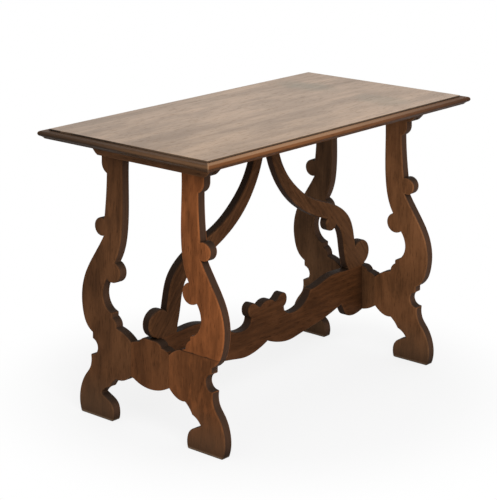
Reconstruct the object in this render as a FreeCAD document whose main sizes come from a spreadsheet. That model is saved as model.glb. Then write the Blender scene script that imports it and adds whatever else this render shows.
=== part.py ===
import FreeCAD, Part
import math
import os

# A walnut trestle table in the Baroque manner: two splayed lyre trestles, a crested stretcher between
# them, two scrolled braces that run up to the middle of the top, and a flat top with a mitred moulding.
# Millimetres, +Z up, +X along the top, origin on the floor under the middle of the top.

# Driving sizes: name, value, what it measures.
SIZES = [
    ("table_height", 683, "floor to the flat of the top"),
    ("top_length", 950, "over the mouldings, along X"),
    ("top_depth", 510, "over the mouldings, along Y"),
    ("top_thickness", 22, "boards of the top"),
    ("edge_width", 19, "how far the moulding stands out from the boards"),
    ("back_board_width", 71, "narrow board along the back of the top"),
    ("bearer_setback", 47, "end of a cross batten in from the side of the top, along Y"),
    ("bearer_width", 36, "cross batten, along X"),
    ("bearer_height", 39, "cross batten, along Z"),
    ("bearer_end_run", 48, "length of the ogee at each end of a batten"),
    ("left_foot_setback", 76, "outer face of the left feet in from the left end of the top"),
    ("right_foot_setback", 70, "outer face of the right feet in from the right end of the top"),
    ("splay_angle", 1.83, "lean of each trestle towards the middle, degrees"),
    ("plank_thickness", 25, "legs and cross blocks"),
    ("leg_width", 168.5, "across one leg, from its joint with the block to the tip of its foot"),
    ("left_block_width", 117, "cross block of the left trestle"),
    ("right_block_width", 106, "cross block of the right trestle, a little narrower by hand"),
    ("stretcher_thickness", 25, "stretcher plank"),
    ("brace_thickness", 25, "brace plank"),
    ("leg_tenon_length", 24, "tenon on top of a leg"),
    ("leg_tenon_width", 40, "tenon on top of a leg, along Y"),
    ("leg_tenon_thickness", 10, "tenon on top of a leg, along X"),
    ("stretcher_tenon_length", 14, "stub tenon at each end of the stretcher"),
    ("stretcher_tenon_height", 60, "stub tenon, along Z"),
    ("stretcher_tenon_thickness", 10, "stub tenon, along Y"),
    ("dowel_diameter", 10, "beech dowels in the blocks and braces"),
    ("dowel_length", 56, "dowels between a leg and its block"),
    ("brace_dowel_reach", 26, "how far a dowel goes into a brace or the stretcher"),
    ("board_dowel_length", 50, "dowels between the two boards of the top"),
    ("board_dowel_diameter", 8, "dowels between the two boards of the top"),
    ("top_bite", 13, "how far a dowel or screw goes up into the top"),
    ("peg_diameter", 6, "pegs through the leg tenons"),
    ("peg_stop", 6, "wood left in front of a peg's blind end"),
    ("screw_diameter", 5, "wood screws that hold the top"),
    ("screw_head_diameter", 10, "countersunk screw head"),
    ("screw_head_height", 3, "countersunk screw head"),
    ("screw_recess", 20, "depth of the screw head inside its batten"),
    ("joint_clearance", 0.1, "gap on each side of a tenon, dowel, peg or screw"),
    ("joint_end_gap", 1, "gap at the blind end of a mortise or bore"),
    ("cut_overrun", 6, "how far a cut runs past the wood"),
]

# A leg's outline from the lower corner at its block, round the foot and up the outside, over the top and
# down the inside. Shares across are of the leg's width outside the block, shares up of the leg's height.
# A stretch with one point is straight, with two an arc through the first, with more a smooth curve.
LEG_START_SHARE = (0, 0.203)
LEG_OUTLINE_SHARES = [
    [(0.065, 0.187), (0.148, 0.174), (0.291, 0.171)],
    [(0.368, 0.152), (0.421, 0.131)],
    [(0.504, 0.12), (0.576, 0.099)],
    [(0.481, 0.087), (0.38, 0.069), (0.338, 0.041), (0.356, 0)],
    [(0.961, 0)],
    [(1, 0.048), (0.973, 0.102), (0.884, 0.152), (0.795, 0.186), (0.769, 0.218), (0.777, 0.24)],
    [(0.644, 0.272), (0.742, 0.301)],
    [(0.742, 0.325)],
    [(0.866, 0.354), (0.938, 0.41), (0.952, 0.461), (0.896, 0.536), (0.766, 0.603), (0.53, 0.703)],
    [(0.695, 0.735), (0.516, 0.768)],
    [(0.49, 0.832), (0.475, 0.888), (0.469, 0.938)],
    [(0.54, 0.954), (0.564, 0.981)],
]
LEG_POST_SHARES = (0.178, 0.564)
LEG_INNER_SHARES = [
    [(0.181, 0.872), (0.193, 0.736), (0.237, 0.669), (0.326, 0.614)],
    [(0.22, 0.574), (0.469, 0.545)],
    [(0.534, 0.512), (0.549, 0.478), (0.504, 0.445), (0.368, 0.421)],
    [(0.368, 0.405)],
    [(0.309, 0.391), (0.285, 0.368)],
    [(0.16, 0.358), (0, 0.33)],
]
# Half of a cross block from its lower middle: shares across of half its width, shares up of the leg's height.
BLOCK_BELLY_SHARE = 0.174
BLOCK_CREST_SHARES = [
    [(0.77, 0.3415), (0.58, 0.344)],
    [(0.44, 0.359), (0.25, 0.3635)],
]
# Heights that the stretcher, the blocks and the braces share, as shares of the leg's height.
BRACE_SEAT_SHARE = 0.365
STRETCHER_TENON_SHARE = 0.275
BLOCK_DOWEL_SHARES = (0.232, 0.3)
# Half of the stretcher from the top of its crest out to the trestle: shares along of its reach, shares up
# of the leg's height.
CREST_START_SHARE = (0, 0.361)
STRETCHER_TOP_SHARES = [
    [(0.041, 0.356), (0.068, 0.345)],
    [(0.105, 0.353), (0.146, 0.369), (0.181, 0.36), (0.192, 0.34), (0.163, 0.311)],
    [(0.182, 0.285), (0.252, 0.273), (0.338, 0.282), (0.411, 0.31), (0.444, 0.341)],
    [(0.54, 0.349), (0.65, 0.366), (0.74, 0.369), (0.82, 0.365)],
]
STRETCHER_END_SHARE = 0.17
STRETCHER_UNDER_SHARES = [
    [(0.947, 0.162), (0.888, 0.162), (0.839, 0.174), (0.812, 0.197), (0.777, 0.227)],
    [(0.709, 0.214), (0.609, 0.198), (0.46, 0.182), (0.338, 0.171), (0.23, 0.162), (0.108, 0.171),
     (0, 0.194)],
]
# A brace from the inner corner under the top, down its hollow side to its foot, round the scroll and back
# up. Shares along are of the stretcher's reach, shares up of the height from the seat to the top.
BRACE_START_SHARE = (0.008, 1)
BRACE_OUTLINE_SHARES = [
    [(0.022, 0.882), (0.049, 0.79), (0.135, 0.637), (0.265, 0.508), (0.406, 0.425), (0.625, 0.346)],
    [(0.628, 0.284), (0.72, 0.298)],
    [(0.763, 0.266), (0.796, 0.208), (0.812, 0.143), (0.828, 0.079), (0.861, 0)],
    [(1.004, 0)],
    [(1.091, 0.085), (0.936, 0.129)],
    [(0.92, 0.194), (0.88, 0.296), (0.79, 0.376), (0.636, 0.441), (0.447, 0.503), (0.298, 0.591),
     (0.179, 0.704), (0.114, 0.824), (0.087, 1)],
]
BRACE_FOOT_DOWEL_SHARE = 0.922
BRACE_TOP_DOWEL_SHARE = 0.0475
# The ogee at the end of a batten, from its flat underside out to its tip: shares of its run and height.
BEARER_OGEE_SHARES = [(0.12, 0.08), (0.36, 0.38), (0.6, 0.6), (1, 0.76)]
# The moulding's section from the board's edge over the nose to its foot: shares of its width and height.
EDGE_TOP_SHARE = 0.84
EDGE_SECTION_SHARES = [
    [(0.4, 0.83), (0.739, 0.796)],
    [(1, 0.527), (0.833, 0.286)],
    [(0.62, 0.2), (0.42, 0)],
]
# Screws between the tenons of a batten and out to its ends, and dowels between the battens, as shares of the
# wood that is free there.
MIDDLE_SCREW_SHARE = 0.49
FRONT_SCREW_SHARE = 0.4
BACK_SCREW_SHARE = 0.05
BOARD_DOWEL_SHARES = (-0.5, 0, 0.5)

LEFT, RIGHT = -1, 1
FRONT, BACK = -1, 1
SIDE_NAMES = {LEFT: "left", RIGHT: "right"}
END_NAMES = {FRONT: "front", BACK: "back"}

doc = FreeCAD.newDocument("trestle_table")
sheet = doc.addObject("Spreadsheet::Sheet", "sizes")
for row, (alias, value, meaning) in enumerate(SIZES, start=1):
    sheet.set(f"A{row}", meaning)
    sheet.set(f"B{row}", str(value))
    sheet.setAlias(f"B{row}", alias)
doc.recompute()
nodes = []


def size(alias):
    """A driving size as a number."""
    return float(getattr(sheet, alias))


# Places worked out from the driving sizes.
lean = math.tan(math.radians(size("splay_angle")))
upright = math.cos(math.radians(size("splay_angle")))
# The base sits a little to the right of the middle of the top.
half_span = (size("top_length") - size("left_foot_setback") - size("right_foot_setback")) / 2
base_middle = (size("left_foot_setback") - size("right_foot_setback")) / 2
half_block = {LEFT: size("left_block_width") / 2, RIGHT: size("right_block_width") / 2}
leg_width = size("leg_width")
top_underside = size("table_height") - size("top_thickness")
leg_height = top_underside - size("bearer_height")
brace_seat = BRACE_SEAT_SHARE * leg_height
brace_height = top_underside - brace_seat
plank_depth = size("plank_thickness") / upright
board_half_length = size("top_length") / 2 - size("edge_width")
board_half_depth = size("top_depth") / 2 - size("edge_width")
seam = board_half_depth - size("back_board_width")
bearer_half = size("top_depth") / 2 - size("bearer_setback")
bearer_flat = bearer_half - size("bearer_end_run")
clearance = size("joint_clearance")
end_gap = size("joint_end_gap")
overrun = size("cut_overrun")


def inner_face(height):
    """Distance from the middle of the base to a trestle's inner face at a height."""
    return half_span - height * lean - plank_depth


reach = inner_face(brace_seat)
bearer_reach = inner_face(leg_height) + plank_depth / 2
bearer_middle = {side: base_middle + side * bearer_reach for side in (LEFT, RIGHT)}
tenon_middle = {side: half_block[side] + sum(LEG_POST_SHARES) / 2 * leg_width for side in (LEFT, RIGHT)}
peg_height = leg_height + size("leg_tenon_length") / 2


def point(across, up):
    """A point of a sketch."""
    return FreeCAD.Vector(across, up, 0)


def stretch(start, points):
    """One edge of an outline: straight, an arc or a smooth curve, by how many points it passes."""
    if len(points) == 1:
        return Part.LineSegment(start, points[0])
    if len(points) == 2:
        return Part.Arc(start, points[0], points[1])
    curve = Part.BSplineCurve()
    curve.interpolate([start] + points)
    return curve


def outline(start, stretches):
    """The edges of an outline that starts at a point and runs along its stretches."""
    edges = []
    for points in stretches:
        edges.append(stretch(start, points))
        start = points[-1]
    return edges


def polygon(corners):
    """The edges of a closed outline with straight sides."""
    return outline(corners[-1], [[corner] for corner in corners])


def rectangle(low, high):
    """The edges of a rectangle between two corners."""
    return polygon([low, point(high.x, low.y), high, point(low.x, high.y)])


def circle(middle, radius):
    """A circle in a sketch."""
    return Part.Circle(middle, FreeCAD.Vector(0, 0, 1), radius)


def mirrored(points):
    """Points turned over to the other side of the middle."""
    return [point(-p.x, p.y) for p in points]


def reversed_stretches(start, stretches):
    """The same stretches walked backwards, with where that walk starts."""
    corners = [start] + [points[-1] for points in stretches]
    backwards = []
    for index in range(len(stretches) - 1, -1, -1):
        backwards.append(stretches[index][-2::-1] + [corners[index]])
    return corners[-1], backwards


def new_body(label):
    """An empty body that becomes a sub-part of this name."""
    body = doc.addObject("PartDesign::Body", label)
    body.Label = label
    nodes.append(body)
    return body


def new_sketch(body, name, role, edges, offset=None):
    """A sketch on one of the body's own planes, moved off it by an expression."""
    sketch = body.newObject("Sketcher::SketchObject", name)
    plane = [feature for feature in body.Origin.OriginFeatures if feature.Role == role][0]
    sketch.AttachmentSupport = [(plane, "")]
    sketch.MapMode = "FlatFace"
    if offset:
        sketch.setExpression("AttachmentOffset.Base.z", offset)
    for edge in edges:
        sketch.addGeometry(edge, False)
    return sketch


def extrude(body, kind, name, sketch, length, backwards=False, symmetric=False):
    """A pad or a pocket of a sketch, as long as an expression says."""
    feature = body.newObject(f"PartDesign::{kind}", name)
    feature.Profile = sketch
    feature.setExpression("Length", length)
    feature.Reversed = backwards
    if symmetric:
        feature.SideType = "Symmetric"
    return feature


def through(body, name, sketch):
    """A pocket of a sketch through all of the wood, both ways."""
    feature = body.newObject("PartDesign::Pocket", name)
    feature.Profile = sketch
    feature.Type = "ThroughAll"
    feature.SideType = "Symmetric"
    return feature


def stand(body, side):
    """Sets a plank of a trestle on the floor at its side, leaning in."""
    body.Placement.Rotation = FreeCAD.Rotation(FreeCAD.Vector(0, -side, 0), size("splay_angle"))
    body.setExpression("Placement.Rotation.Angle", "sizes.splay_angle")
    setback = f"sizes.{SIDE_NAMES[side]}_foot_setback"
    body.setExpression("Placement.Base.x", f"{side} * (sizes.top_length / 2 - {setback})")


def plank_height(height, depth):
    """How far up a leaning plank, at a depth behind its outer face, a height above the floor lies."""
    return height / upright + depth * lean


def leg_points(side, end, shares):
    """Points of a leg's outline from their shares."""
    return [point(end * (half_block[side] + across * leg_width), up * leg_height) for across, up in shares]


def make_leg(side, end):
    """A lyre leg sawn from one plank, with a tenon on top and bores for its block's dowels."""
    body = new_body(f"leg_{SIDE_NAMES[side]}_{END_NAMES[end]}")
    inward = -side
    start = leg_points(side, end, [LEG_START_SHARE])[0]
    stretches = [leg_points(side, end, shares) for shares in LEG_OUTLINE_SHARES]
    for share in reversed(LEG_POST_SHARES):
        stretches.append([point(end * (half_block[side] + share * leg_width), leg_height + overrun)])
    stretches.extend(leg_points(side, end, shares) for shares in LEG_INNER_SHARES)
    stretches.append([start])
    sawn = new_sketch(body, "sawn_outline", "YZ_Plane", outline(start, stretches))
    extrude(body, "Pad", "plank", sawn, "sizes.plank_thickness", side == RIGHT)

    past = size("plank_thickness") + overrun
    foot = [
        point(-inward * overrun, -overrun * lean),
        point(inward * past, past * lean),
        point(inward * past, -overrun),
        point(-inward * overrun, -overrun),
    ]
    shoulder = [
        point(-inward * overrun, plank_height(leg_height, -overrun)),
        point(inward * past, plank_height(leg_height, past)),
        point(inward * past, leg_height + past),
        point(-inward * overrun, leg_height + past),
    ]
    level = new_sketch(body, "level_cuts", "XZ_Plane", polygon(foot) + polygon(shoulder))
    through(body, "level_ends", level)

    half_tenon = size("leg_tenon_width") / 2
    low = point(end * (tenon_middle[side] - half_tenon), leg_height - overrun)
    tenon_top = plank_height(leg_height + size("leg_tenon_length"), 0)
    high = point(end * (tenon_middle[side] + half_tenon), tenon_top)
    cheek = f"{inward} * (sizes.plank_thickness - sizes.leg_tenon_thickness) / 2"
    tenon = new_sketch(body, "tenon_outline", "YZ_Plane", rectangle(low, high), cheek)
    extrude(body, "Pad", "tenon", tenon, "sizes.leg_tenon_thickness", side == RIGHT)

    half_thickness = size("plank_thickness") / 2
    radius = size("dowel_diameter") / 2 + clearance
    bores = [circle(point(inward * half_thickness, up * leg_height), radius) for up in BLOCK_DOWEL_SHARES]
    bored = new_sketch(body, "dowel_circles", "XZ_Plane", bores)
    deep = f"sizes.{SIDE_NAMES[side]}_block_width / 2 + sizes.dowel_length / 2 + sizes.joint_end_gap"
    extrude(body, "Pocket", "dowel_bores", bored, deep, end == FRONT)

    # The peg lies level and the tenon leans, so the bore is wider by as much as the tenon leans across it.
    peg_radius = size("peg_diameter") / 2 + clearance + size("leg_tenon_thickness") * lean / 2
    peg = circle(point(end * tenon_middle[side], plank_height(peg_height, half_thickness)), peg_radius)
    pegged = new_sketch(body, "peg_circle", "YZ_Plane", [peg])
    through(body, "peg_bore", pegged)
    stand(body, side)
    return body


def make_block(side):
    """The cross block between the legs of a trestle, with a mortise for the stretcher."""
    body = new_body(f"cross_block_{SIDE_NAMES[side]}")
    inward = -side
    half_width = half_block[side]
    cusp = point(half_width, LEG_START_SHARE[1] * leg_height)
    valley = point(half_width, LEG_INNER_SHARES[-1][-1][1] * leg_height)
    crest = []
    for shares in BLOCK_CREST_SHARES:
        crest.append([point(across * half_width, up * leg_height) for across, up in shares])
    far_start, far_crest = reversed_stretches(valley, crest)
    stretches = [[point(0, BLOCK_BELLY_SHARE * leg_height), cusp], [valley]]
    stretches.extend(crest)
    stretches.append(mirrored([far_start]))
    stretches.extend(mirrored(points) for points in far_crest)
    stretches.append(mirrored([cusp]))
    sawn = new_sketch(body, "sawn_outline", "YZ_Plane", outline(mirrored([cusp])[0], stretches))
    extrude(body, "Pad", "plank", sawn, "sizes.plank_thickness", side == RIGHT)

    half_high = size("stretcher_tenon_height") / 2 + clearance
    half_thick = size("stretcher_tenon_thickness") / 2 + clearance
    middle = STRETCHER_TENON_SHARE * leg_height
    mortise = rectangle(point(-half_thick, middle - half_high), point(half_thick, middle + half_high))
    face = f"{inward} * sizes.plank_thickness"
    cut = new_sketch(body, "mortise_outline", "YZ_Plane", mortise, face)
    mortise_depth = "sizes.stretcher_tenon_length + sizes.joint_end_gap"
    extrude(body, "Pocket", "mortise", cut, mortise_depth, side == RIGHT)

    radius = size("dowel_diameter") / 2 + clearance
    half_thickness = size("plank_thickness") / 2
    bores = [circle(point(inward * half_thickness, up * leg_height), radius) for up in BLOCK_DOWEL_SHARES]
    deep = "sizes.dowel_length / 2 + sizes.joint_end_gap"
    for end in (FRONT, BACK):
        flank = f"{-end} * sizes.{SIDE_NAMES[side]}_block_width / 2"
        bored = new_sketch(body, f"dowel_circles_{END_NAMES[end]}", "XZ_Plane", bores, flank)
        extrude(body, "Pocket", f"dowel_bores_{END_NAMES[end]}", bored, deep, end == BACK)
    stand(body, side)
    return body


def make_stretcher():
    """The crested stretcher, with a stub tenon at each end and bores for the braces' feet."""
    body = new_body("stretcher")

    def spots(shares):
        return [point(along * reach, up * leg_height) for along, up in shares]

    crown = spots([CREST_START_SHARE])[0]
    low_end = STRETCHER_END_SHARE * leg_height
    half = [spots(shares) for shares in STRETCHER_TOP_SHARES]
    half.append([point(reach, brace_seat)])
    half.append([point(inner_face(low_end), low_end)])
    half.extend(spots(shares) for shares in STRETCHER_UNDER_SHARES)
    stretches = half + [mirrored(points) for points in reversed_stretches(crown, half)[1]]
    sawn = new_sketch(body, "sawn_outline", "XZ_Plane", outline(crown, stretches))
    extrude(body, "Pad", "plank", sawn, "sizes.stretcher_thickness", symmetric=True)

    middle = plank_height(STRETCHER_TENON_SHARE * leg_height * upright, 0)
    half_high = size("stretcher_tenon_height") / 2
    tongues = []
    for side in (LEFT, RIGHT):
        corners = []
        for depth, along in ((overrun, -half_high), (-size("stretcher_tenon_length"), -half_high),
                             (-size("stretcher_tenon_length"), half_high), (overrun, half_high)):
            # A depth behind the outer face and a length along the leaning plank, as a place in the table.
            inside = size("plank_thickness") + depth
            from_middle = half_span - (middle + along) * upright * lean - inside * upright
            corners.append(point(side * from_middle, (middle + along) * upright - inside * upright * lean))
        tongues.extend(polygon(corners))
    tenons = new_sketch(body, "tenon_outlines", "XZ_Plane", tongues)
    extrude(body, "Pad", "tenons", tenons, "sizes.stretcher_tenon_thickness", symmetric=True)

    radius = size("dowel_diameter") / 2 + clearance
    feet = [side * BRACE_FOOT_DOWEL_SHARE * reach - base_middle for side in (LEFT, RIGHT)]
    bores = [circle(point(foot, 0), radius) for foot in feet]
    seat = f"{BRACE_SEAT_SHARE} * (sizes.table_height - sizes.top_thickness - sizes.bearer_height)"
    bored = new_sketch(body, "dowel_circles", "XY_Plane", bores, seat)
    extrude(body, "Pocket", "dowel_bores", bored, "sizes.brace_dowel_reach + sizes.joint_end_gap")
    body.setExpression("Placement.Base.x", "(sizes.left_foot_setback - sizes.right_foot_setback) / 2")
    return body


def make_brace(side):
    """A scrolled brace from the stretcher's end up to the top, bored for a dowel at each end."""
    body = new_body(f"brace_{SIDE_NAMES[side]}")

    def spots(shares):
        return [point(side * along * reach, brace_seat + up * brace_height) for along, up in shares]

    start = spots([BRACE_START_SHARE])[0]
    stretches = [spots(shares) for shares in BRACE_OUTLINE_SHARES]
    stretches.append([start])
    sawn = new_sketch(body, "sawn_outline", "XZ_Plane", outline(start, stretches))
    extrude(body, "Pad", "plank", sawn, "sizes.brace_thickness", symmetric=True)

    radius = size("dowel_diameter") / 2 + clearance
    deep = "sizes.brace_dowel_reach + sizes.joint_end_gap"
    underside = "sizes.table_height - sizes.top_thickness"
    seat = f"{BRACE_SEAT_SHARE} * ({underside} - sizes.bearer_height)"
    foot = circle(point(side * BRACE_FOOT_DOWEL_SHARE * reach, 0), radius)
    foot_sketch = new_sketch(body, "foot_circle", "XY_Plane", [foot], seat)
    extrude(body, "Pocket", "foot_bore", foot_sketch, deep, True)
    head = circle(point(side * BRACE_TOP_DOWEL_SHARE * reach, 0), radius)
    head_sketch = new_sketch(body, "head_circle", "XY_Plane", [head], underside)
    extrude(body, "Pocket", "head_bore", head_sketch, deep)
    return body


def screw_places(side):
    """Where the screws go up through a batten, along Y, clear of the leg tenons and of the boards' seam."""
    half_tenon = size("leg_tenon_width") / 2
    head_room = size("screw_head_diameter") / 2 + 2 * clearance
    middle = MIDDLE_SCREW_SHARE * (tenon_middle[side] - half_tenon)
    front = tenon_middle[side] + half_tenon + head_room
    back = max(seam, tenon_middle[side] + half_tenon) + head_room
    front += FRONT_SCREW_SHARE * (bearer_half - front)
    back += BACK_SCREW_SHARE * (bearer_half - back)
    return [-front, -middle, middle, back]


def board_dowel_places():
    """Where the dowels between the boards lie, along X: between the battens and halfway to each end."""
    inner = [base_middle + share * bearer_reach for share in BOARD_DOWEL_SHARES]
    outer = [(bearer_middle[side] + side * board_half_length) / 2 for side in (LEFT, RIGHT)]
    return inner + outer


def make_bearer(side):
    """A cross batten with ogee ends, mortised for the two legs and bored for screws and pegs."""
    body = new_body(f"bearer_{SIDE_NAMES[side]}")
    run = size("bearer_end_run")
    high = size("bearer_height")
    ogee = [point(bearer_flat + along * run, leg_height + up * high) for along, up in BEARER_OGEE_SHARES]
    flat_end = point(bearer_flat, leg_height)
    tip = point(bearer_half, top_underside)
    low_start, low_ogee = reversed_stretches(flat_end, [ogee])
    stretches = [[flat_end], ogee, [tip], mirrored([tip]), mirrored([low_start])]
    stretches.extend(mirrored(points) for points in low_ogee)
    middle = f"({bearer_middle[side]} - sizes.bearer_width / 2)"
    sawn = new_sketch(body, "sawn_outline", "YZ_Plane", outline(mirrored([flat_end])[0], stretches), middle)
    extrude(body, "Pad", "batten", sawn, "sizes.bearer_width")

    # A tenon leans with its leg, so its mortise is wider by as much as the tenon leans over its length.
    wide = size("leg_tenon_thickness") / upright + size("leg_tenon_length") * lean + 2 * clearance
    leaned_in = size("leg_tenon_length") * lean / 2
    half_long = size("leg_tenon_width") / 2 + clearance
    mortises = []
    for end in (FRONT, BACK):
        centre = bearer_middle[side] - side * leaned_in
        low = point(centre - wide / 2, end * tenon_middle[side] - half_long)
        mortises.extend(rectangle(low, point(centre + wide / 2, end * tenon_middle[side] + half_long)))
    base = "sizes.table_height - sizes.top_thickness - sizes.bearer_height"
    cut = new_sketch(body, "mortise_outlines", "XY_Plane", mortises, base)
    deep = "sizes.leg_tenon_length + sizes.joint_end_gap"
    extrude(body, "Pocket", "mortises", cut, deep, True)

    peg_radius = size("peg_diameter") / 2 + clearance
    pegs = [circle(point(end * tenon_middle[side], peg_height), peg_radius) for end in (FRONT, BACK)]
    inner = f"({bearer_middle[side]} - {side} * sizes.bearer_width / 2)"
    pegged = new_sketch(body, "peg_circles", "YZ_Plane", pegs, inner)
    peg_depth = "sizes.bearer_width - sizes.peg_stop + sizes.joint_end_gap"
    extrude(body, "Pocket", "peg_bores", pegged, peg_depth, side == RIGHT)

    spots = [point(bearer_middle[side], place) for place in screw_places(side)]
    shanks = [circle(spot, size("screw_diameter") / 2 + clearance) for spot in spots]
    shank_sketch = new_sketch(body, "screw_circles", "XY_Plane", shanks, base)
    extrude(body, "Pocket", "screw_bores", shank_sketch, "sizes.bearer_height + sizes.cut_overrun", True)
    heads = [circle(spot, size("screw_head_diameter") / 2 + clearance) for spot in spots]
    head_sketch = new_sketch(body, "screw_head_circles", "XY_Plane", heads, base)
    extrude(body, "Pocket", "screw_head_bores", head_sketch, "sizes.screw_recess", True)
    return body


def make_board(label, low_y, high_y, joint_y, towards):
    """A board of the top, bored for the screws, braces and dowels that meet it."""
    body = new_body(label)
    plan = rectangle(point(-board_half_length, low_y), point(board_half_length, high_y))
    underside = "sizes.table_height - sizes.top_thickness"
    flat = new_sketch(body, "board_plan", "XY_Plane", plan, underside)
    extrude(body, "Pad", "board", flat, "sizes.top_thickness")

    bores = []
    screw_radius = size("screw_diameter") / 2 + clearance
    for side in (LEFT, RIGHT):
        for place in screw_places(side):
            if low_y < place < high_y:
                bores.append(circle(point(bearer_middle[side], place), screw_radius))
        if low_y < 0 < high_y:
            head = point(side * BRACE_TOP_DOWEL_SHARE * reach, 0)
            bores.append(circle(head, size("dowel_diameter") / 2 + clearance))
    bored = new_sketch(body, "fixing_circles", "XY_Plane", bores, underside)
    extrude(body, "Pocket", "fixing_bores", bored, "sizes.top_bite + sizes.joint_end_gap", True)

    level = top_underside + size("top_thickness") / 2
    radius = size("board_dowel_diameter") / 2 + clearance
    edge_bores = [circle(point(place, level), radius) for place in board_dowel_places()]
    edge_sketch = new_sketch(body, "edge_circles", "XZ_Plane", edge_bores, f"{-joint_y}")
    deep = "sizes.board_dowel_length / 2 + sizes.joint_end_gap"
    extrude(body, "Pocket", "edge_bores", edge_sketch, deep, towards == FRONT)
    return body


def make_moulding(label, along_x, outward):
    """One mitred strip of the moulding round the top."""
    body = new_body(label)
    wide = size("edge_width")
    thick = size("top_thickness")
    inner = board_half_depth if along_x else board_half_length
    half_run = (size("top_length") if along_x else size("top_depth")) / 2

    def spots(shares):
        return [point(outward * (inner + out * wide), top_underside + up * thick) for out, up in shares]

    start = spots([(0, EDGE_TOP_SHARE)])[0]
    stretches = [spots(shares) for shares in EDGE_SECTION_SHARES]
    stretches.append(spots([(0, 0)]))
    stretches.append([start])
    section = new_sketch(body, "section", "YZ_Plane" if along_x else "XZ_Plane", outline(start, stretches))
    run = "sizes.top_length" if along_x else "sizes.top_depth"
    extrude(body, "Pad", "strip", section, run, symmetric=True)

    corners = []
    for direction in (-1, 1):
        tip = (direction * (half_run + overrun), outward * (inner + wide + overrun))
        heel = (direction * (half_run - wide - overrun), outward * (inner - overrun))
        waste = (direction * (half_run + overrun), outward * (inner - overrun))
        triangle = [tip, heel, waste]
        corners.extend(polygon([point(*spot) if along_x else point(spot[1], spot[0]) for spot in triangle]))
    mitres = new_sketch(body, "mitre_cuts", "XY_Plane", corners)
    through(body, "mitres", mitres)
    return body


def rod(name, radius, height, base, axis):
    """A round rod from a base point along an axis, with its sizes as expressions."""
    cylinder = doc.addObject("Part::Cylinder", name)
    cylinder.setExpression("Radius", radius)
    cylinder.setExpression("Height", height)
    cylinder.Placement = FreeCAD.Placement(base, FreeCAD.Rotation(FreeCAD.Vector(0, 0, 1), axis))
    return cylinder


def group(label, members):
    """A set of like fasteners as one sub-part of separate solids."""
    compound = doc.addObject("Part::Compound", label)
    compound.Label = label
    compound.Links = members
    nodes.append(compound)
    return compound


def make_block_dowels(side):
    """Dowels between the cross block of a trestle and its legs."""
    half_thickness = size("plank_thickness") / 2
    along_y = FreeCAD.Vector(0, 1, 0)
    members = []
    for end in (FRONT, BACK):
        for index, up in enumerate(BLOCK_DOWEL_SHARES):
            along = up * leg_height
            x = base_middle + side * (half_span - along * upright * lean - half_thickness * upright)
            z = along * upright - half_thickness * upright * lean
            base = FreeCAD.Vector(x, end * half_block[side] - size("dowel_length") / 2, z)
            name = f"block_dowel_{SIDE_NAMES[side]}_{END_NAMES[end]}_{index}"
            members.append(rod(name, "sizes.dowel_diameter / 2", "sizes.dowel_length", base, along_y))
    return group(f"block_dowels_{SIDE_NAMES[side]}", members)


def make_brace_dowels(label, along_share, level, length):
    """A dowel in each brace, standing on end across a joint."""
    members = []
    for side in (LEFT, RIGHT):
        base = FreeCAD.Vector(side * along_share * reach, 0, level - size("brace_dowel_reach"))
        name = f"{label}_{SIDE_NAMES[side]}"
        members.append(rod(name, "sizes.dowel_diameter / 2", length, base, FreeCAD.Vector(0, 0, 1)))
    return group(label, members)


def make_board_dowels():
    """Dowels in the edge joint between the two boards of the top."""
    level = top_underside + size("top_thickness") / 2
    members = []
    for index, place in enumerate(board_dowel_places()):
        base = FreeCAD.Vector(place, seam - size("board_dowel_length") / 2, level)
        name = f"board_dowel_{index}"
        along_y = FreeCAD.Vector(0, 1, 0)
        members.append(rod(name, "sizes.board_dowel_diameter / 2", "sizes.board_dowel_length", base, along_y))
    return group("board_dowels", members)


def make_tenon_pegs():
    """Pegs driven from the inner side of each batten through the leg tenons."""
    length = "sizes.bearer_width - sizes.peg_stop"
    members = []
    for side in (LEFT, RIGHT):
        for end in (FRONT, BACK):
            inner = bearer_middle[side] - side * size("bearer_width") / 2
            base = FreeCAD.Vector(inner, end * tenon_middle[side], peg_height)
            name = f"tenon_peg_{SIDE_NAMES[side]}_{END_NAMES[end]}"
            along = FreeCAD.Vector(side, 0, 0)
            members.append(rod(name, "sizes.peg_diameter / 2", length, base, along))
    return group("tenon_pegs", members)


def make_screws():
    """Countersunk wood screws up through the battens into the top."""
    members = []
    upwards = FreeCAD.Vector(0, 0, 1)
    seat = leg_height + size("screw_recess")
    for side in (LEFT, RIGHT):
        for index, place in enumerate(screw_places(side)):
            name = f"screw_{SIDE_NAMES[side]}_{index}"
            base = FreeCAD.Vector(bearer_middle[side], place, seat - size("screw_head_height"))
            length = "sizes.bearer_height - sizes.screw_recess + sizes.screw_head_height + sizes.top_bite"
            shank = rod(f"{name}_shank", "sizes.screw_diameter / 2", length, base, upwards)
            head = doc.addObject("Part::Cone", f"{name}_head")
            head.setExpression("Radius1", "sizes.screw_head_diameter / 2")
            head.setExpression("Radius2", "sizes.screw_diameter / 2")
            head.setExpression("Height", "sizes.screw_head_height")
            head.Placement.Base = base
            screw = doc.addObject("Part::Fuse", name)
            screw.Base = head
            screw.Tool = shank
            members.append(screw)
    return group("top_screws", members)


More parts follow.
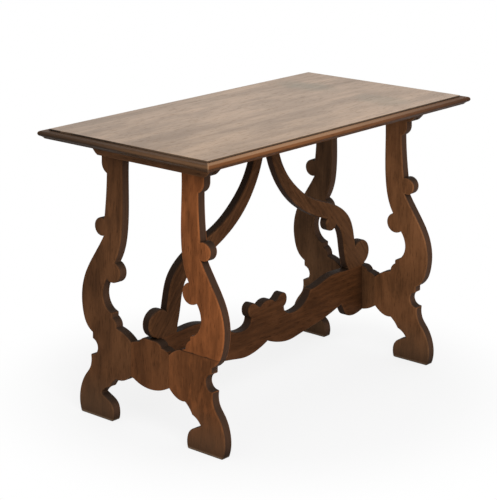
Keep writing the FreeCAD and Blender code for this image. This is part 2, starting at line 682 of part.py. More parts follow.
for side in (LEFT, RIGHT):
    for end in (FRONT, BACK):
        make_leg(side, end)
    make_block(side)
    make_block_dowels(side)
    make_brace(side)
    make_bearer(side)
make_stretcher()
make_board("top_board_wide", -board_half_depth, seam, seam, FRONT)
make_board("top_board_back", seam, board_half_depth, seam, BACK)
make_board_dowels()
make_moulding("moulding_front", True, FRONT)
make_moulding("moulding_back", True, BACK)
make_moulding("moulding_left", False, LEFT)
make_moulding("moulding_right", False, RIGHT)
make_tenon_pegs()
make_screws()
foot_dowel = "2 * sizes.brace_dowel_reach"
head_dowel = "sizes.brace_dowel_reach + sizes.top_bite"
make_brace_dowels("brace_foot_dowels", BRACE_FOOT_DOWEL_SHARE, brace_seat, foot_dowel)
make_brace_dowels("brace_head_dowels", BRACE_TOP_DOWEL_SHARE, top_underside, head_dowel)
doc.recompute()

for thing in doc.Objects:
    if "Invalid" in thing.State or "Error" in thing.State:
        raise RuntimeError(f"{thing.Name} did not rebuild: {thing.State}")
for node in nodes:
    if node.Shape.isNull() or not node.Shape.isValid() or not node.Shape.Solids:
        raise RuntimeError(f"{node.Label} has no sound shape")
os.makedirs("parts", exist_ok=True)
for node in nodes:
    node.Shape.exportStep(f"parts/{node.Label}.step")
    print(f"{node.Label}: solids {len(node.Shape.Solids)}, volume {node.Shape.Volume:.0f} mm3")
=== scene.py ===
import math
from collections import namedtuple

import bmesh
import bpy
from bpy.props import FloatProperty, FloatVectorProperty, PointerProperty
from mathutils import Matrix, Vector
from mathutils.bvhtree import BVHTree


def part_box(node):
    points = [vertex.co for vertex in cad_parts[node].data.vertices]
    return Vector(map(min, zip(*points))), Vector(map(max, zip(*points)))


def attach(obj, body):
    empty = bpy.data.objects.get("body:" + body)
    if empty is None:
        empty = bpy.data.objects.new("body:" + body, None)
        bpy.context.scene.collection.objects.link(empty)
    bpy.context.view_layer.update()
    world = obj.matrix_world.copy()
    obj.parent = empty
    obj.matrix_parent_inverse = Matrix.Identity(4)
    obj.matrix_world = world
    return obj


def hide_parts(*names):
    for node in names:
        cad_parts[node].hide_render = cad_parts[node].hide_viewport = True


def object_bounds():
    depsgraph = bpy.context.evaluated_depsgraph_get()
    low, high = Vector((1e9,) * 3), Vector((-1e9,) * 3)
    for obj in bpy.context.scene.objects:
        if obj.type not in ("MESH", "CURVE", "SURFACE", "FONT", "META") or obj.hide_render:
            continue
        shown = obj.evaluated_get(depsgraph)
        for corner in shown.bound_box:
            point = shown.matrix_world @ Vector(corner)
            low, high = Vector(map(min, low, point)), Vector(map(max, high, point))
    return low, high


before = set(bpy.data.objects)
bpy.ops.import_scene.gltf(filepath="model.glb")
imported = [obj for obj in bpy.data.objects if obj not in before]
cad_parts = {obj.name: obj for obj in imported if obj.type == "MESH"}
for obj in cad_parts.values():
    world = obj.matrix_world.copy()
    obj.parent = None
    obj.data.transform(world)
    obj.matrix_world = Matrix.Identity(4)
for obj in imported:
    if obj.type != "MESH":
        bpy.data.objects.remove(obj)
cad_low, cad_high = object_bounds()

bl_info = {
    "name": "Walnut trestle table",
    "version": (1, 0, 0),
    "blender": (4, 5, 0),
    "location": "3D View > Sidebar > Table",
    "description": "Dresses the packed trestle table in old waxed walnut and sets it on a plain stage",
    "category": "Object",
}

MILLIMETRE = 0.001


def linear(hex_colour):
    """A colour written as sRGB hex, as linear red, green and blue."""
    channels = [int(hex_colour[i:i + 2], 16) / 255 for i in (1, 3, 5)]
    return tuple(c / 12.92 if c <= 0.04045 else ((c + 0.055) / 1.055) ** 2.4 for c in channels)


# Sizes and colours that a user would change.
class WornEdgeSettings(bpy.types.PropertyGroup):
    """How far the arrises of the wood are worn round."""

    plank: FloatProperty(
        name="Plank arris", description="Rounding of the sawn planks' arrises",
        default=3.0 * MILLIMETRE, min=0, unit="LENGTH", precision=4)
    brace: FloatProperty(
        name="Brace arris", description="Rounding of the scrolled braces, which were rasped rounder",
        default=4.5 * MILLIMETRE, min=0, unit="LENGTH", precision=4)
    batten: FloatProperty(
        name="Batten arris", description="Rounding of the cross battens, which little touches under the top",
        default=1.3 * MILLIMETRE, min=0, unit="LENGTH", precision=4)
    board: FloatProperty(
        name="Board arris", description="Rounding of the arrises of the top's boards",
        default=0.9 * MILLIMETRE, min=0, unit="LENGTH", precision=4)
    moulding: FloatProperty(
        name="Moulding arris", description="Rounding of the arrises of the moulding",
        default=0.7 * MILLIMETRE, min=0, unit="LENGTH", precision=4)
    seam_share: FloatProperty(
        name="Seam share", description="Rounding at a glued joint, as a share of the free arris",
        default=0.04, min=0, max=1, subtype="FACTOR")
    stop_share: FloatProperty(
        name="Stop share", description="How far a worn arris stops before a joint, as a share of its width",
        default=3, min=0)


class WoodSettings(bpy.types.PropertyGroup):
    """Colours of the wood, the wax and the dust; some of them also serve as painted shade, sheen and
    highlights.
    """

    plank: FloatVectorProperty(
        name="Plank", description="Broad faces of the planks",
        default=linear("#563721"), size=3, min=0, max=1, subtype="COLOR")
    sawn: FloatVectorProperty(
        name="Sawn edge", description="Sawn edges of the planks, which drank more stain",
        default=linear("#3B291E"), size=3, min=0, max=1, subtype="COLOR")
    scuffed: FloatVectorProperty(
        name="Scuffed foot", description="Bare wood along the bottom of the feet",
        default=linear("#B39B80"), size=3, min=0, max=1, subtype="COLOR")
    grime: FloatVectorProperty(
        name="Grime", description="Grey dirt low down on the feet",
        default=linear("#55402F"), size=3, min=0, max=1, subtype="COLOR")
    top: FloatVectorProperty(
        name="Top", description="Faded boards of the top",
        default=linear("#AB927C"), size=3, min=0, max=1, subtype="COLOR")
    stain: FloatVectorProperty(
        name="Stain", description="Old water stain on the top",
        default=linear("#7A7868"), size=3, min=0, max=1, subtype="COLOR")
    moulding: FloatVectorProperty(
        name="Moulding", description="Moulding round the top",
        default=linear("#774C2E"), size=3, min=0, max=1, subtype="COLOR")
    # This colour also paints the sheen on the moulding's flats and the highlight along its mitres.
    rubbed_and_highlight: FloatVectorProperty(
        name="Rubbed moulding", description="Moulding where hands and sleeves rub it",
        default=linear("#AD8664"), size=3, min=0, max=1, subtype="COLOR")
    # This colour also paints shade in the corners between parts and under the moulding.
    wax_and_shade: FloatVectorProperty(
        name="Old wax", description="Dark wax and dirt left in the corners",
        default=linear("#20160F"), size=3, min=0, max=1, subtype="COLOR")
    # This dark colour is partly dust and partly painted shade on the edges that face up.
    dust_and_shade: FloatVectorProperty(
        name="Dust", description="Dull dust on the edges that face up",
        default=linear("#2E241D"), size=3, min=0, max=1, subtype="COLOR")
    beech: FloatVectorProperty(
        name="Beech", description="Dowels",
        default=linear("#B98E62"), size=3, min=0, max=1, subtype="COLOR")
    steel: FloatVectorProperty(
        name="Steel", description="Wood screws",
        default=linear("#8B8884"), size=3, min=0, max=1, subtype="COLOR")


class StageSettings(bpy.types.PropertyGroup):
    """The floor, the light and the camera."""

    floor_width: FloatProperty(
        name="Floor width", description="Side of the square floor",
        default=30, min=1, unit="LENGTH")
    sky: FloatProperty(
        name="Sky strength", description="Even light from all round", default=0.78, min=0)
    key_power: FloatProperty(
        name="Key power", description="Large soft lamp over the front left corner",
        default=60, min=0, subtype="POWER")
    key_width: FloatProperty(
        name="Key width", description="Side of the key lamp", default=1.6, min=0.1, unit="LENGTH")
    azimuth: FloatProperty(
        name="Azimuth", description="Camera's turn about the table",
        default=math.radians(-49.17), subtype="ANGLE")
    elevation: FloatProperty(
        name="Elevation", description="Camera's height above the horizon",
        default=math.radians(16.405), subtype="ANGLE")
    distance: FloatProperty(
        name="Distance", description="From the camera to the point it looks at",
        default=4.0103, min=0.1, unit="LENGTH")
    lens: FloatProperty(
        name="Lens", description="Focal length on a 36 mm frame", default=121.51, min=1, unit="CAMERA")
    aim: FloatVectorProperty(
        name="Aim", description="Point in the table that the camera looks at",
        default=(-0.0228, 0.0281, 0.3467), size=3, subtype="XYZ", unit="LENGTH")


# Each plank: the way its grain runs, the way its broad face looks, its place in the log in millimetres, how
# light and how red its face is beside the others, and how light its sawn edges are. The lightness is partly
# the wood's own tone and partly painted light: the front legs are lighter than the back ones as if lit from
# the front, and the battens and other pieces in shade under the top are lighter to offset that shade.
Plank = namedtuple("Plank", "grain across place light red sawn")
ALONG, ACROSS, UPRIGHT = (1, 0, 0), (0, 1, 0), (0, 0, 1)
PLANKS = {
    "leg_left_front": Plank(UPRIGHT, ALONG, (35, 210, 0), 1.5, 1.26, 1.2),
    "leg_left_back": Plank(UPRIGHT, ALONG, (60, -180, 400), 0.92, 0.99, 1.5),
    "leg_right_front": Plank(UPRIGHT, ALONG, (-50, 160, 900), 1.48, 0.99, 1.5),
    "leg_right_back": Plank(UPRIGHT, ALONG, (45, -230, 1400), 0.97, 0.85, 1.86),
    "cross_block_left": Plank(UPRIGHT, ALONG, (90, 40, 300), 0.85, 1.09, 0.6),
    "cross_block_right": Plank(UPRIGHT, ALONG, (-70, 60, 700), 1.55, 0.95, 0.7),
    "stretcher": Plank(ALONG, ACROSS, (55, 120, 250), 0.68, 1.08, 0.7),
    "brace_left": Plank((0.64, 0, 0.77), ACROSS, (80, -60, 500), 0.76, 1.01, 0.47),
    "brace_right": Plank((-0.64, 0, 0.77), ACROSS, (-65, 85, 1100), 0.83, 0.97, 0.79),
    "bearer_left": Plank(ACROSS, ALONG, (40, 75, 1600), 1.55, 0.94, 1.1),
    "bearer_right": Plank(ACROSS, ALONG, (-45, 95, 1900), 1.55, 0.94, 1.1),
}
# The front left leg looks mended: a level joint crosses it at this height, over darker wood.
MENDED_LEG = "leg_left_front"
MEND_HEIGHT = 224 * MILLIMETRE
# How far the line of that joint wanders up and down in all.
MEND_WANDER = 6 * MILLIMETRE
# The boards of the top, each with its place in the log in millimetres.
BOARDS = {"top_board_wide": (120, 60, 0), "top_board_back": (120, 360, 500)}
# Each strip of moulding: the way it runs, the way it looks, how light and how red it is beside the others,
# and how far its flat is made pale by rubbing and a painted sheen, or below zero how far it is left dark.
Strip = namedtuple("Strip", "grain outward light red polish")
MOULDINGS = {
    "moulding_front": Strip(ALONG, ACROSS, 0.8, 1.0, 0.55),
    "moulding_back": Strip(ALONG, ACROSS, 0.76, 1.0, 0.1),
    "moulding_left": Strip(ACROSS, ALONG, 0.92, 0.75, -0.25),
    "moulding_right": Strip(ACROSS, ALONG, 0.62, 0.9, 0.1),
}
# The mouldings' place in the log in millimetres.
MOULDING_PLACE = (15, 40, 120)
# The pegs were cleft from one stick.
PEG = Plank(ALONG, ALONG, (10, 20, 30), 0.8, 1, 1)
DOWELS = ("board_dowels", "block_dowels_left", "block_dowels_right", "brace_foot_dowels", "brace_head_dowels")

# Widths of the markings in millimetres. Streaks and pores are drawn wider than real ones, which are too fine
# to show.
CLOUD_WIDTH = 110
STREAK_WIDTH = 6
RING_GAP = 12
PORE_WIDTH = 2
BLOTCH_WIDTH = 30
PATCH_WIDTH = 70
BROAD_STREAK_WIDTH = 30
FLECK_WIDTH = 2
STEEL_CLOUD_WIDTH = 3
# How high dirt and scuffs reach up the feet, and how near another face must be for painted shade in the
# corner.
GRIME_HEIGHT = 110 * MILLIMETRE
SCUFF_HEIGHT = 7 * MILLIMETRE
SHADE_REACH = 90 * MILLIMETRE
# Water stains on the top: the middle of each in metres, and how strong it is.
STAINS = (((0.345, 0.155, 0), 0.42), ((0.325, -0.09, 0), 0.28))
# How far to the left of the middle the front strips are brightest, as a share of half the top's length.
BRIGHT_SPOT_SHARE = 0.4

# Corners closer than this are one corner, and facets that bend less than this are one flat face.
SAME_CORNER = 0.01 * MILLIMETRE
FLAT_BEND = math.radians(0.05)
# A sawn edge looks less than this share along the way that the broad face looks.
SAWN_FACING = 0.5
# Its facets bend less than the first from one to the next. At an arris the wood bends at least the second.
SMOOTH_BEND = math.radians(25)
ARRIS_BEND = math.radians(32)
# An edge runs straight through the plank from this share on, and corners this near a broad face lie on it.
THROUGH_SHARE = 0.99
ON_FACE = 0.02 * MILLIMETRE
# A face is glued where a point this far in from its edge lies this close to another solid.
PROBE_INSET = 0.8 * MILLIMETRE
GLUE_GAP = 0.3 * MILLIMETRE
# A piece of an arris shorter than this is joined to the next one.
SHORT_PIECE = 1.5 * MILLIMETRE
# A chain of arrises shorter than this is taken for the rim of a screw's bore.
BORE_RIM = 60 * MILLIMETRE
ARRIS_FACETS = 3

# The stage: its colours, where the lamp hangs and points in metres, the width of the camera's film in
# millimetres and how far the camera sees in metres.
WHITE = (1, 1, 1, 1)
PAPER_GREY = (0.65, 0.65, 0.65, 1)
KEY_PLACE = (-1.6, -2.1, 1.9)
KEY_AIM = (-0.2, -0.1, 0.4)
FILM_WIDTH = 36
CAMERA_REACH = 100


def add(tree, kind, settings=None, links=None):
    """Adds a node, sets its options and sockets, and links sockets of other nodes to its own."""
    node = tree.nodes.new(kind)
    for name, value in (settings or {}).items():
        if name == "stops":
            while len(node.color_ramp.elements) < len(value):
                node.color_ramp.elements.new(1)
            for element, (place, colour) in zip(node.color_ramp.elements, value):
                element.position = place
                element.color = (*colour, 1)
        elif isinstance(name, int) or name in node.inputs:
            node.inputs[name].default_value = value
        else:
            setattr(node, name, value)
    for name, socket in (links or {}).items():
        tree.links.new(socket, node.inputs[name])
    return node


def new_material(name):
    """An empty material and its node tree."""
    material = bpy.data.materials.new(name)
    material.use_nodes = True
    material.node_tree.nodes.clear()
    return material, material.node_tree


def toned(colour, light, red):
    """A wood colour made lighter and redder."""
    return (min(colour[0] * light * red, 1), min(colour[1] * light, 1), min(colour[2] * light / red, 1))


def grain_space(tree, grain, place):
    """Coordinates in millimetres with Z along the grain, moved to the plank's place in the log."""
    object_space = add(tree, "ShaderNodeTexCoord").outputs["Object"]
    turn = Vector(grain).rotation_difference(Vector((0, 0, 1))).to_euler()
    per_metre = 1 / MILLIMETRE
    mapped = add(tree, "ShaderNodeMapping",
                 {"Location": place, "Rotation": turn, "Scale": (per_metre, per_metre, per_metre)},
                 {"Vector": object_space})
    return mapped.outputs["Vector"], object_space


def figure(tree, space):
    """Walnut's figure: broad clouds, faint streaks along the grain and growth rings, and its open pores."""
    # Clouds of colour, four times as long as they are wide.
    cloud_space = add(tree, "ShaderNodeVectorMath", {"operation": "MULTIPLY", 1: (1, 1, 0.25)}, {0: space})
    clouds = add(tree, "ShaderNodeTexNoise", {"Scale": 1 / CLOUD_WIDTH, "Detail": 2.0, "Roughness": 0.5},
                 {"Vector": cloud_space.outputs[0]})
    # Long streaks along the grain.
    fibre_space = add(tree, "ShaderNodeVectorMath", {"operation": "MULTIPLY", 1: (1, 1, 0.05)}, {0: space})
    streaks = add(tree, "ShaderNodeTexNoise", {"Scale": 1 / STREAK_WIDTH, "Detail": 3.0, "Roughness": 0.6},
                  {"Vector": fibre_space.outputs[0]})
    # Growth rings round a pith that lies beside the plank. The ring texture repeats every two pi over twenty
    # of its scale.
    rings = add(tree, "ShaderNodeTexWave",
                {"wave_type": "RINGS", "rings_direction": "Z", "Scale": 2 * math.pi / 20 / RING_GAP,
                 "Distortion": 6.0, "Detail": 2.0, "Detail Scale": 1.2, "Detail Roughness": 0.5},
                {"Vector": cloud_space.outputs[0]})
    woven = add(tree, "ShaderNodeMix", {0: 0.32}, {2: clouds.outputs[0], 3: streaks.outputs[0]})
    figured = add(tree, "ShaderNodeMix", {0: 0.1}, {2: woven.outputs[0], 3: rings.outputs["Fac"]})
    # Open pores along the grain.
    pore_space = add(tree, "ShaderNodeVectorMath", {"operation": "MULTIPLY", 1: (1, 1, 0.09)}, {0: space})
    pore_noise = add(tree, "ShaderNodeTexNoise", {"Scale": 1 / PORE_WIDTH, "Detail": 1.0},
                     {"Vector": pore_space.outputs[0]})
    pores = add(tree, "ShaderNodeMapRange",
                {"From Min": 0.58, "From Max": 0.72, "To Min": 0.0, "To Max": 1.0},
                {"Value": pore_noise.outputs[0]})
    return figured.outputs[0], pores.outputs[0], clouds.outputs[0]


def figured_colour(tree, colour, spread, figured, pores):
    """A wood colour that the figure makes lighter and darker by a share, and the pores darker."""
    stops = [(0.3, toned(colour, 1 - spread, 1)), (0.5, colour), (0.7, toned(colour, 1 + spread, 1))]
    wood = add(tree, "ShaderNodeValToRGB", {"stops": stops}, {0: figured})
    shade = 1 - spread
    pored = add(tree, "ShaderNodeMix",
                {"data_type": "RGBA", "blend_type": "MULTIPLY", 7: (shade, shade, shade, 1)},
                {0: pores, 6: wood.outputs[0]})
    return pored.outputs[2]


def finish_wood(tree, colour, figured, pores, rough, specular, coarse):
    """Joins a wood's colour to its shader, with the pores as fine relief and rougher spots."""
    height = add(tree, "ShaderNodeMix", {0: 0.5}, {2: figured, 3: pores})
    relief = add(tree, "ShaderNodeBump", {"invert": True, "Strength": 0.3, "Distance": coarse * MILLIMETRE},
                 {"Height": height.outputs[0]})
    roughness = add(tree, "ShaderNodeMapRange",
                    {"From Min": 0.3, "From Max": 0.7, "To Min": rough - 0.08, "To Max": rough + 0.1},
                    {"Value": height.outputs[0]})
    shader = add(tree, "ShaderNodeBsdfPrincipled", {"IOR": 1.5, "Specular IOR Level": specular},
                 {"Base Color": colour, "Roughness": roughness.outputs[0], "Normal": relief.outputs[0]})
    add(tree, "ShaderNodeOutputMaterial", {}, {"Surface": shader.outputs[0]})


def blend(tree, share, colour, other, way="MIX"):
    """Mixes a plain colour into a colour by a share that varies over the surface."""
    mixed = add(tree, "ShaderNodeMix", {"data_type": "RGBA", "blend_type": way, 7: (*other, 1)},
                {0: share, 6: colour})
    return mixed.outputs[2]


def waxed_walnut(name, plank, face, sawn, mended, woods):
    """Old walnut, sawn, scraped and waxed: faint brown streaks, dull wax, darker sawn edges, and painted
    shade in the corners and on the edges that face up.
    """
    material, tree = new_material(name)
    space, object_space = grain_space(tree, plank.grain, plank.place)
    figured, pores, clouds = figure(tree, space)
    colour = figured_colour(tree, face, 0.46, figured, pores)
    height = add(tree, "ShaderNodeSeparateXYZ", {}, {0: object_space}).outputs["Z"]
    normal = add(tree, "ShaderNodeNewGeometry").outputs["Normal"]
    # The lower part of a mended leg is darker wood.
    if mended:
        lower = add(tree, "ShaderNodeMapRange",
                    {"From Min": MEND_HEIGHT, "From Max": MEND_HEIGHT + MILLIMETRE,
                     "To Min": 1.0, "To Max": 0.0},
                    {"Value": height})
        foot = figured_colour(tree, toned(face, light=0.67, red=0.91), 0.44, figured, pores)
        lower_too = add(tree, "ShaderNodeMix", {"data_type": "RGBA"},
                        {0: lower.outputs[0], 6: colour, 7: foot})
        colour = lower_too.outputs[2]
    # Wax has sunk in unevenly, in darker blotches with paler ones between.
    blotch_space = add(tree, "ShaderNodeVectorMath", {"operation": "MULTIPLY", 1: (1, 1, 0.4)}, {0: space})
    blotches = add(tree, "ShaderNodeTexNoise", {"Scale": 1 / BLOTCH_WIDTH, "Detail": 4.0, "Roughness": 0.6},
                   {"Vector": blotch_space.outputs[0]})
    sunk = add(tree, "ShaderNodeMapRange",
               {"From Min": 0.5, "From Max": 0.72, "To Min": 0.0, "To Max": 0.6},
               {"Value": blotches.outputs[0]})
    colour = blend(tree, sunk.outputs[0], colour, toned(face, light=0.5, red=0.95))
    pale = add(tree, "ShaderNodeMapRange",
               {"From Min": 0.48, "From Max": 0.3, "To Min": 0.0, "To Max": 0.5},
               {"Value": blotches.outputs[0]})
    colour = blend(tree, pale.outputs[0], colour, toned(face, light=1.45, red=0.98))
    # Grey dirt lies low down on the feet.
    low = add(tree, "ShaderNodeMapRange",
              {"From Min": 15 * MILLIMETRE, "From Max": GRIME_HEIGHT, "To Min": 0.6, "To Max": 0.0},
              {"Value": height})
    colour = blend(tree, low.outputs[0], colour, woods.grime)
    # The sawn edges drank more of the stain than the broad faces.
    if sawn:
        edge = add(tree, "ShaderNodeVectorMath", {"operation": "DOT_PRODUCT", 1: plank.across}, {0: normal})
        away = add(tree, "ShaderNodeMath", {"operation": "ABSOLUTE"}, {0: edge.outputs["Value"]})
        share = add(tree, "ShaderNodeMapRange",
                    {"From Min": 0.7, "From Max": 0.95, "To Min": 1.0, "To Max": 0.0},
                    {"Value": away.outputs[0]})
        dark = figured_colour(tree, sawn, 0.2, figured, pores)
        sawn_too = add(tree, "ShaderNodeMix", {"data_type": "RGBA"},
                       {0: share.outputs[0], 6: colour, 7: dark})
        colour = sawn_too.outputs[2]
    # Edges that face up are darkened: partly dust, partly painted shade from the top above them.
    facing = add(tree, "ShaderNodeSeparateXYZ", {}, {0: normal})
    upward_dust_and_shade = add(tree, "ShaderNodeMapRange",
                 {"From Min": 0.3, "From Max": 0.8, "To Min": 0.0, "To Max": 0.8},
                 {"Value": facing.outputs["Z"]})
    colour = blend(tree, upward_dust_and_shade.outputs[0], colour, woods.dust_and_shade)
    # Feet are scuffed to bare wood in a broken line along the floor.
    near_floor = add(tree, "ShaderNodeMapRange",
                     {"From Min": 1 * MILLIMETRE, "From Max": SCUFF_HEIGHT, "To Min": 1.3, "To Max": 0.0},
                     {"Value": height})
    scuffs = add(tree, "ShaderNodeMath", {"operation": "MULTIPLY"}, {0: near_floor.outputs[0], 1: clouds})
    colour = blend(tree, scuffs.outputs[0], colour, woods.scuffed)
    # Corners near other parts are painted darker in the colour of old wax: a painted shade.
    occlusion = add(tree, "ShaderNodeAmbientOcclusion", {"samples": 8, "Distance": SHADE_REACH})
    corner = add(tree, "ShaderNodeMapRange",
                 {"From Min": 0.3, "From Max": 0.8, "To Min": 0.9, "To Max": 0.0},
                 {"Value": occlusion.outputs["AO"]})
    colour = blend(tree, corner.outputs[0], colour, woods.wax_and_shade)
    # The joint of a mended leg shows as a dark line, up to 3 mm wide, that wanders and fades.
    if mended:
        wander = add(tree, "ShaderNodeTexNoise", {"Scale": 30.0, "Detail": 2.0}, {"Vector": object_space})
        shift = add(tree, "ShaderNodeMath",
                    {"operation": "MULTIPLY_ADD", 1: MEND_WANDER, 2: MEND_HEIGHT - MEND_WANDER / 2},
                    {0: wander.outputs[0]})
        away = add(tree, "ShaderNodeMath", {"operation": "SUBTRACT"}, {0: height, 1: shift.outputs[0]})
        near = add(tree, "ShaderNodeMath", {"operation": "ABSOLUTE"}, {0: away.outputs[0]})
        line = add(tree, "ShaderNodeMapRange",
                   {"From Min": 0.8 * MILLIMETRE, "From Max": 2.2 * MILLIMETRE, "To Min": 1.0, "To Max": 0.0},
                   {"Value": near.outputs[0]})
        fading = add(tree, "ShaderNodeMapRange",
                     {"From Min": 0.35, "From Max": 0.6, "To Min": 0.25, "To Max": 0.95},
                     {"Value": wander.outputs[0]})
        faded = add(tree, "ShaderNodeMath", {"operation": "MULTIPLY"},
                    {0: line.outputs[0], 1: fading.outputs[0]})
        colour = blend(tree, faded.outputs[0], colour, woods.wax_and_shade)
    finish_wood(tree, colour, figured, pores, rough=0.58, specular=0.03, coarse=0.25)
    return material


def faded_walnut(name, place, woods):
    """Walnut boards faded by light and polished for years: pale brown, faint grain, a soft even sheen, with
    more sheen painted towards the right end and the front.
    """
    material, tree = new_material(name)
    space, object_space = grain_space(tree, ALONG, place)
    figured, pores = figure(tree, space)[:2]
    colour = figured_colour(tree, woods.top, 0.3, figured, pores)
    # Use has worn pale patches and left darker ones between them.
    patch_space = add(tree, "ShaderNodeVectorMath", {"operation": "MULTIPLY", 1: (1, 1, 0.35)}, {0: space})
    patches = add(tree, "ShaderNodeTexNoise", {"Scale": 1 / PATCH_WIDTH, "Detail": 5.0, "Roughness": 0.65},
                  {"Vector": patch_space.outputs[0]})
    pale = add(tree, "ShaderNodeMapRange",
               {"From Min": 0.5, "From Max": 0.68, "To Min": 0.0, "To Max": 0.6},
               {"Value": patches.outputs[0]})
    colour = blend(tree, pale.outputs[0], colour, toned(woods.top, light=1.22, red=1.01))
    dull = add(tree, "ShaderNodeMapRange",
               {"From Min": 0.5, "From Max": 0.34, "To Min": 0.0, "To Max": 0.6},
               {"Value": patches.outputs[0]})
    colour = blend(tree, dull.outputs[0], colour, toned(woods.top, light=0.72, red=1.01))
    # Broad darker streaks run along the boards.
    streak_space = add(tree, "ShaderNodeVectorMath", {"operation": "MULTIPLY", 1: (1, 1, 0.06)}, {0: space})
    streaks = add(tree, "ShaderNodeTexNoise", {"Scale": 1 / BROAD_STREAK_WIDTH, "Detail": 3.0},
                  {"Vector": streak_space.outputs[0]})
    streaked = add(tree, "ShaderNodeMapRange",
                   {"From Min": 0.52, "From Max": 0.72, "To Min": 0.0, "To Max": 0.65},
                   {"Value": streaks.outputs[0]})
    colour = blend(tree, streaked.outputs[0], colour, toned(woods.top, light=0.66, red=1.03))
    # A painted sheen: the top is darker towards the left end and the back, so the right end and the front
    # look brighter.
    lengthwise = add(tree, "ShaderNodeVectorMath", {"operation": "DOT_PRODUCT", 1: (1, -0.35, 0)},
                     {0: object_space})
    less_sheen = add(tree, "ShaderNodeMapRange",
                  {"From Min": -0.5, "From Max": 0.12, "To Min": 0.8, "To Max": 0.0},
                  {"Value": lengthwise.outputs["Value"]})
    colour = blend(tree, less_sheen.outputs[0], colour, (0.74, 0.74, 0.74), "MULTIPLY")
    # The top is warmer in tone towards the front left corner.
    cornerwise = add(tree, "ShaderNodeVectorMath", {"operation": "DOT_PRODUCT", 1: (-0.6, -1, 0)},
                     {0: object_space})
    warm = add(tree, "ShaderNodeMapRange",
               {"From Min": 0.0, "From Max": 0.45, "To Min": 0.0, "To Max": 0.6},
               {"Value": cornerwise.outputs["Value"]})
    colour = blend(tree, warm.outputs[0], colour, (1, 0.95, 0.86), "MULTIPLY")
    # Two greyish water stains lie near the right end, each about 130 mm long across the boards.
    wander = add(tree, "ShaderNodeTexNoise", {"Scale": 22.0, "Detail": 3.0}, {"Vector": object_space})
    moved = add(tree, "ShaderNodeVectorMath", {"operation": "SCALE", "Scale": 0.08},
                {0: wander.outputs["Color"]})
    wandered = add(tree, "ShaderNodeVectorMath", {"operation": "ADD"}, {0: object_space, 1: moved.outputs[0]})
    for middle, strength in STAINS:
        centred = add(tree, "ShaderNodeVectorMath", {"operation": "SUBTRACT", 1: middle},
                      {0: wandered.outputs[0]})
        squeezed = add(tree, "ShaderNodeVectorMath", {"operation": "MULTIPLY", 1: (1.6, 1, 0)},
                       {0: centred.outputs[0]})
        far = add(tree, "ShaderNodeVectorMath", {"operation": "LENGTH"}, {0: squeezed.outputs[0]})
        stained = add(tree, "ShaderNodeMapRange",
                      {"interpolation_type": "SMOOTHSTEP", "From Min": 0.03, "From Max": 0.11,
                       "To Min": strength, "To Max": 0.0},
                      {"Value": far.outputs["Value"]})
        colour = blend(tree, stained.outputs[0], colour, woods.stain)
    # The boards' edges over the moulding hold dark wax, which draws the line round the field.
    facing = add(tree, "ShaderNodeSeparateXYZ", {}, {0: add(tree, "ShaderNodeNewGeometry").outputs["Normal"]})
    edge = add(tree, "ShaderNodeMapRange",
               {"From Min": 0.35, "From Max": 0.75, "To Min": 0.8, "To Max": 0.0},
               {"Value": facing.outputs["Z"]})
    colour = blend(tree, edge.outputs[0], colour, toned(woods.wax_and_shade, light=2.2, red=1.05))
    finish_wood(tree, colour, figured, pores, rough=0.45, specular=0.2, coarse=0.1)
    return material


